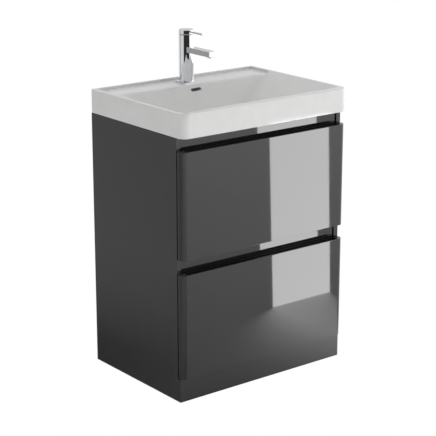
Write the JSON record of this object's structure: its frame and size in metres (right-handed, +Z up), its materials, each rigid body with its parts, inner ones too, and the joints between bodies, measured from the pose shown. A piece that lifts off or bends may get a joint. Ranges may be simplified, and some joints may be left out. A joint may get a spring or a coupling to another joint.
{
  "type": "bathroom vanity cabinet",
  "caption": "Floor-standing bathroom vanity cabinet in gloss dark grey with handleless drawers, a shallow rectangular ceramic basin and a chrome lever tap.",
  "frame": {"origin": "on the floor, under the middle of the whole object's outline", "axes": "+Z up, +Y to the wall behind, +X to the right as seen from the front; the drawers open towards -Y"},
  "size_m": [0.6, 0.444, 0.989],
  "materials": {
    "grey_lacquer": "high-gloss dark grey lacquer on fibreboard",
    "grey_board": "fine matt grey melamine on board",
    "black_anodised": "satin black anodised extrusion",
    "white_ceramic": "glossy white glaze",
    "polished_chrome": "mirror-polished chrome plate",
    "white_plastic": "moulded white plastic",
    "liner_plastic": "matt grey moulded plastic",
    "rubber": "soft black rubber",
    "brass": "turned brass",
    "zinc_steel": "bright zinc-plated steel"
  },
  "bodies": {
    "carcass": {"side_panel_left": "grey_lacquer", "side_panel_right": "grey_lacquer", "base_panel": "grey_board", "top_front_rail": "grey_lacquer", "middle_front_rail": "grey_lacquer", "rear_top_rail": "grey_board", "rear_lower_rail": "grey_board", "plinth": "grey_lacquer", "plinth_blocks": "white_plastic", "corner_blocks": "white_plastic", "front_bumpers": "rubber", "wall_brackets": "zinc_steel", "basin": "white_ceramic", "waste_body": "polished_chrome", "waste_seal": "rubber", "waste_backnut": "white_plastic", "trap_nuts": "white_plastic", "trap_body": "white_plastic", "trap_cup": "white_plastic", "trap_outlet_pipe": "white_plastic", "tap_base_plate": "polished_chrome", "tap_body": "polished_chrome", "tap_spout": "polished_chrome", "tap_aerator": "polished_chrome", "tap_cartridge": "white_plastic", "tap_cartridge_nut": "brass", "tap_stud": "zinc_steel", "tap_clamp_washer": "zinc_steel", "tap_clamp_nut": "brass", "upper_cabinet_members": "zinc_steel", "lower_cabinet_members": "zinc_steel"},
    "upper_drawer": {"upper_front": "grey_lacquer", "upper_pull": "black_anodised", "upper_side_left": "grey_board", "upper_side_right": "grey_board", "upper_inner_front": "grey_board", "upper_back": "grey_board", "upper_bottom": "grey_board", "upper_notch_liner": "liner_plastic", "upper_front_screws": "zinc_steel", "upper_drawer_members": "zinc_steel"},
    "lower_drawer": {"lower_front": "grey_lacquer", "lower_pull": "black_anodised", "lower_side_left": "grey_board", "lower_side_right": "grey_board", "lower_inner_front": "grey_board", "lower_back": "grey_board", "lower_bottom": "grey_board", "lower_front_screws": "zinc_steel", "lower_drawer_members": "zinc_steel"},
    "upper_runners": {"upper_middle_members": "zinc_steel"},
    "lower_runners": {"lower_middle_members": "zinc_steel"},
    "tap_swivel": {"tap_stem": "brass"},
    "tap_handle": {"tap_cap": "polished_chrome", "tap_lever": "polished_chrome"},
    "waste_plug": {"waste_plug": "polished_chrome"}
  },
  "joints": [
    {"name": "upper_drawer_slide", "type": "slide", "parent": "carcass", "child": "upper_drawer", "axis": [0, -1, 0], "range_m": [0, 0.34]},
    {"name": "lower_drawer_slide", "type": "slide", "parent": "carcass", "child": "lower_drawer", "axis": [0, -1, 0], "range_m": [0, 0.34]},
    {"name": "upper_runner_slide", "type": "slide", "parent": "carcass", "child": "upper_runners", "axis": [0, -1, 0], "range_m": [0, 0.17]},
    {"name": "lower_runner_slide", "type": "slide", "parent": "carcass", "child": "lower_runners", "axis": [0, -1, 0], "range_m": [0, 0.17]},
    {"name": "tap_temperature", "type": "hinge", "parent": "carcass", "child": "tap_swivel", "pos_m": [0, 0.162, 0.97], "axis": [0, 0, 1], "range_deg": [-50, 50]},
    {"name": "tap_flow", "type": "hinge", "parent": "tap_swivel", "child": "tap_handle", "pos_m": [0, 0.182, 0.976], "axis": [-1, 0, 0], "range_deg": [0, 22]},
    {"name": "plug_press", "type": "slide", "parent": "carcass", "child": "waste_plug", "axis": [0, 0, -1], "range_m": [0, 0.0075], "stiffness_N_per_m": 200, "springref_m": -0.005}
  ],
  "couplings": [
    {"joint": "upper_runner_slide", "follows": "upper_drawer_slide", "ratio": 0.5},
    {"joint": "lower_runner_slide", "follows": "lower_drawer_slide", "ratio": 0.5}
  ]
}
